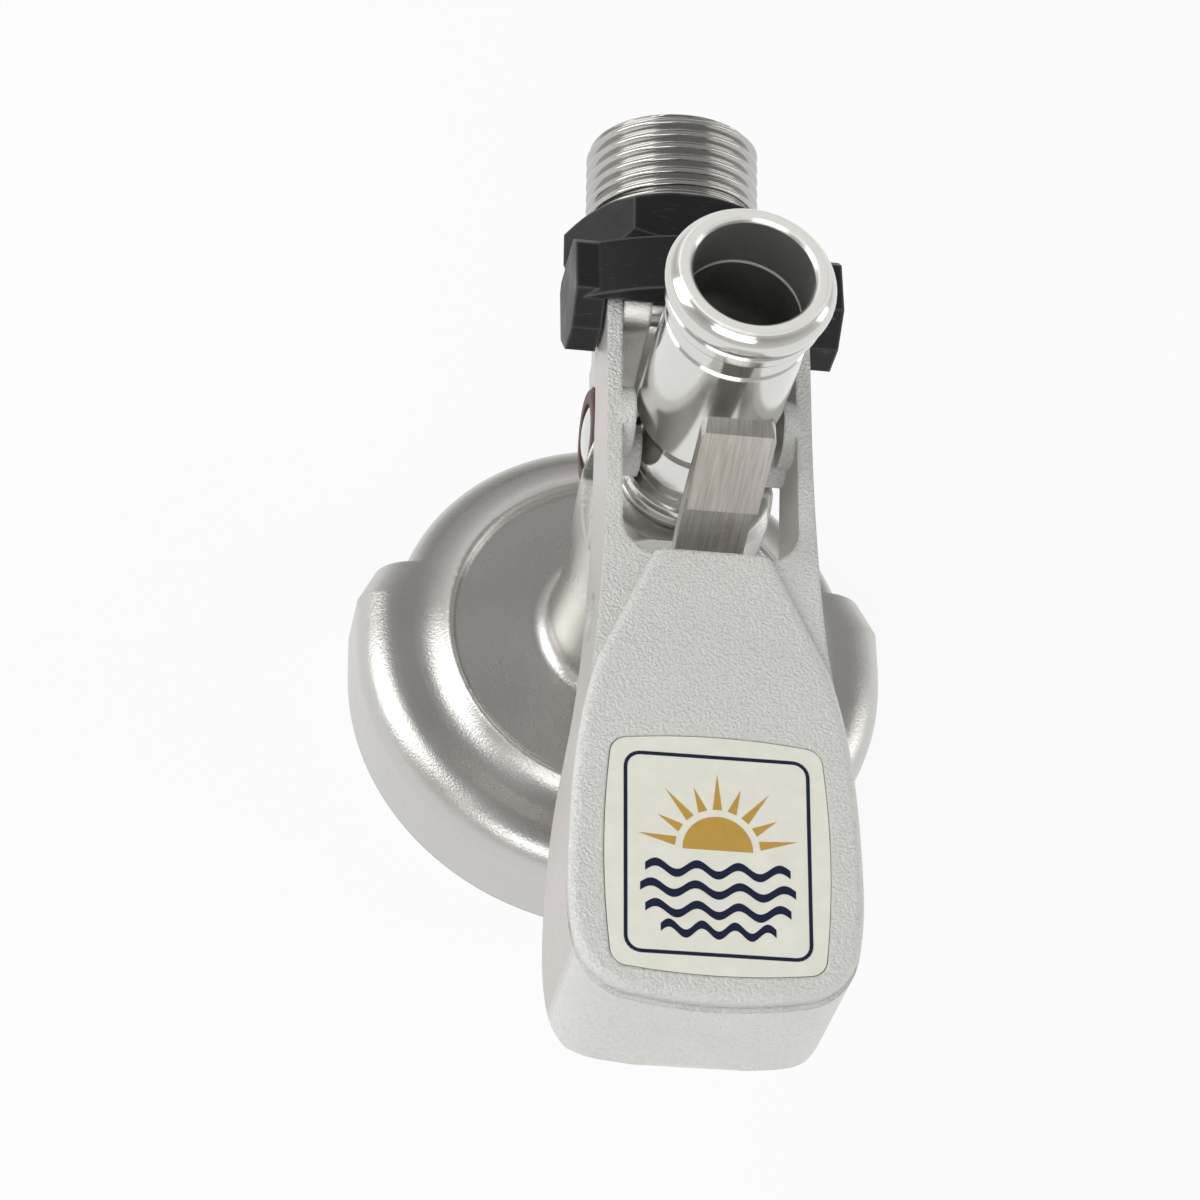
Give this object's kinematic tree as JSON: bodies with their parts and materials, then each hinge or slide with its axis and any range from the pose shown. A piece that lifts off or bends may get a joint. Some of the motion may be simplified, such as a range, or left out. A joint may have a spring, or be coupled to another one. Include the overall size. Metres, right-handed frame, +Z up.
{
  "type": "keg coupler",
  "caption": "Slide-on keg coupler with a hand lever that drives a beer probe down, a thumb latch and a threaded gas inlet.",
  "frame": {"origin": "on the probe's axis, in the plane of the underside of the lips that grip the keg's flange", "axes": "+Z up along the probe, -Y towards the lever's nose, +Y towards the gas inlet, +X to the lever's right seen from its nose"},
  "size_m": [0.0724, 0.1331, 0.101],
  "materials": {
    "cast_steel": "satin bead-blasted casting",
    "lever_steel": "satin bead-blasted casting",
    "turned_steel": "bright turned and polished",
    "thread_steel": "bright machined",
    "latch_steel": "ground",
    "pin_steel": "bright drawn",
    "spring_steel": "drawn wire",
    "black_plastic": "moulded, lightly scuffed",
    "badge_plate": "glossy cream",
    "seal_rubber": "smooth",
    "white_plastic": "moulded"
  },
  "bodies": {
    "body": {"coupler_body": "cast_steel", "keg_gasket": "seal_rubber", "probe_guide": "white_plastic", "gas_union": "thread_steel", "union_washer": "turned_steel", "hex_nut": "black_plastic", "check_duckbill": "seal_rubber", "check_ring": "white_plastic", "plug_washer": "seal_rubber", "side_plug": "turned_steel", "hinge_pin": "pin_steel", "pin_clip": "black_plastic"},
    "probe": {"probe_tube": "turned_steel", "piston_ring": "seal_rubber", "probe_nose": "white_plastic", "probe_seal": "seal_rubber", "ball_seat": "white_plastic", "ball_stop": "turned_steel"},
    "ball": {"check_ball": "white_plastic"},
    "lever": {"lever": "lever_steel", "badge_plate": "badge_plate", "latch_pin": "pin_steel", "latch_spacer": "pin_steel", "latch_spring": "spring_steel"},
    "latch": {"latch": "latch_steel"}
  },
  "joints": [
    {"name": "lever_hinge", "type": "hinge", "parent": "body", "child": "lever", "pos_m": [0, 0.016, 0.0702], "axis": [1, 0, 0], "range_deg": [0, 28]},
    {"name": "probe_slide", "type": "slide", "parent": "body", "child": "probe", "axis": [0, 0, 1], "range_m": [-0.0081, 0]},
    {"name": "ball_lift", "type": "slide", "parent": "probe", "child": "ball", "axis": [0, 0, 1], "range_m": [0, 0.0026]},
    {"name": "latch_hinge", "type": "hinge", "parent": "lever", "child": "latch", "pos_m": [0, -0.0263, 0.0635], "axis": [1, 0, 0], "range_deg": [-7, 0], "stiffness_Nm_per_rad": 0.15, "springref_deg": 11.46, "deforming": ["latch_spring"]}
  ],
  "couplings": [
    {"joint": "probe_slide", "follows": "lever_hinge", "m_per_rad": -0.01654}
  ]
}
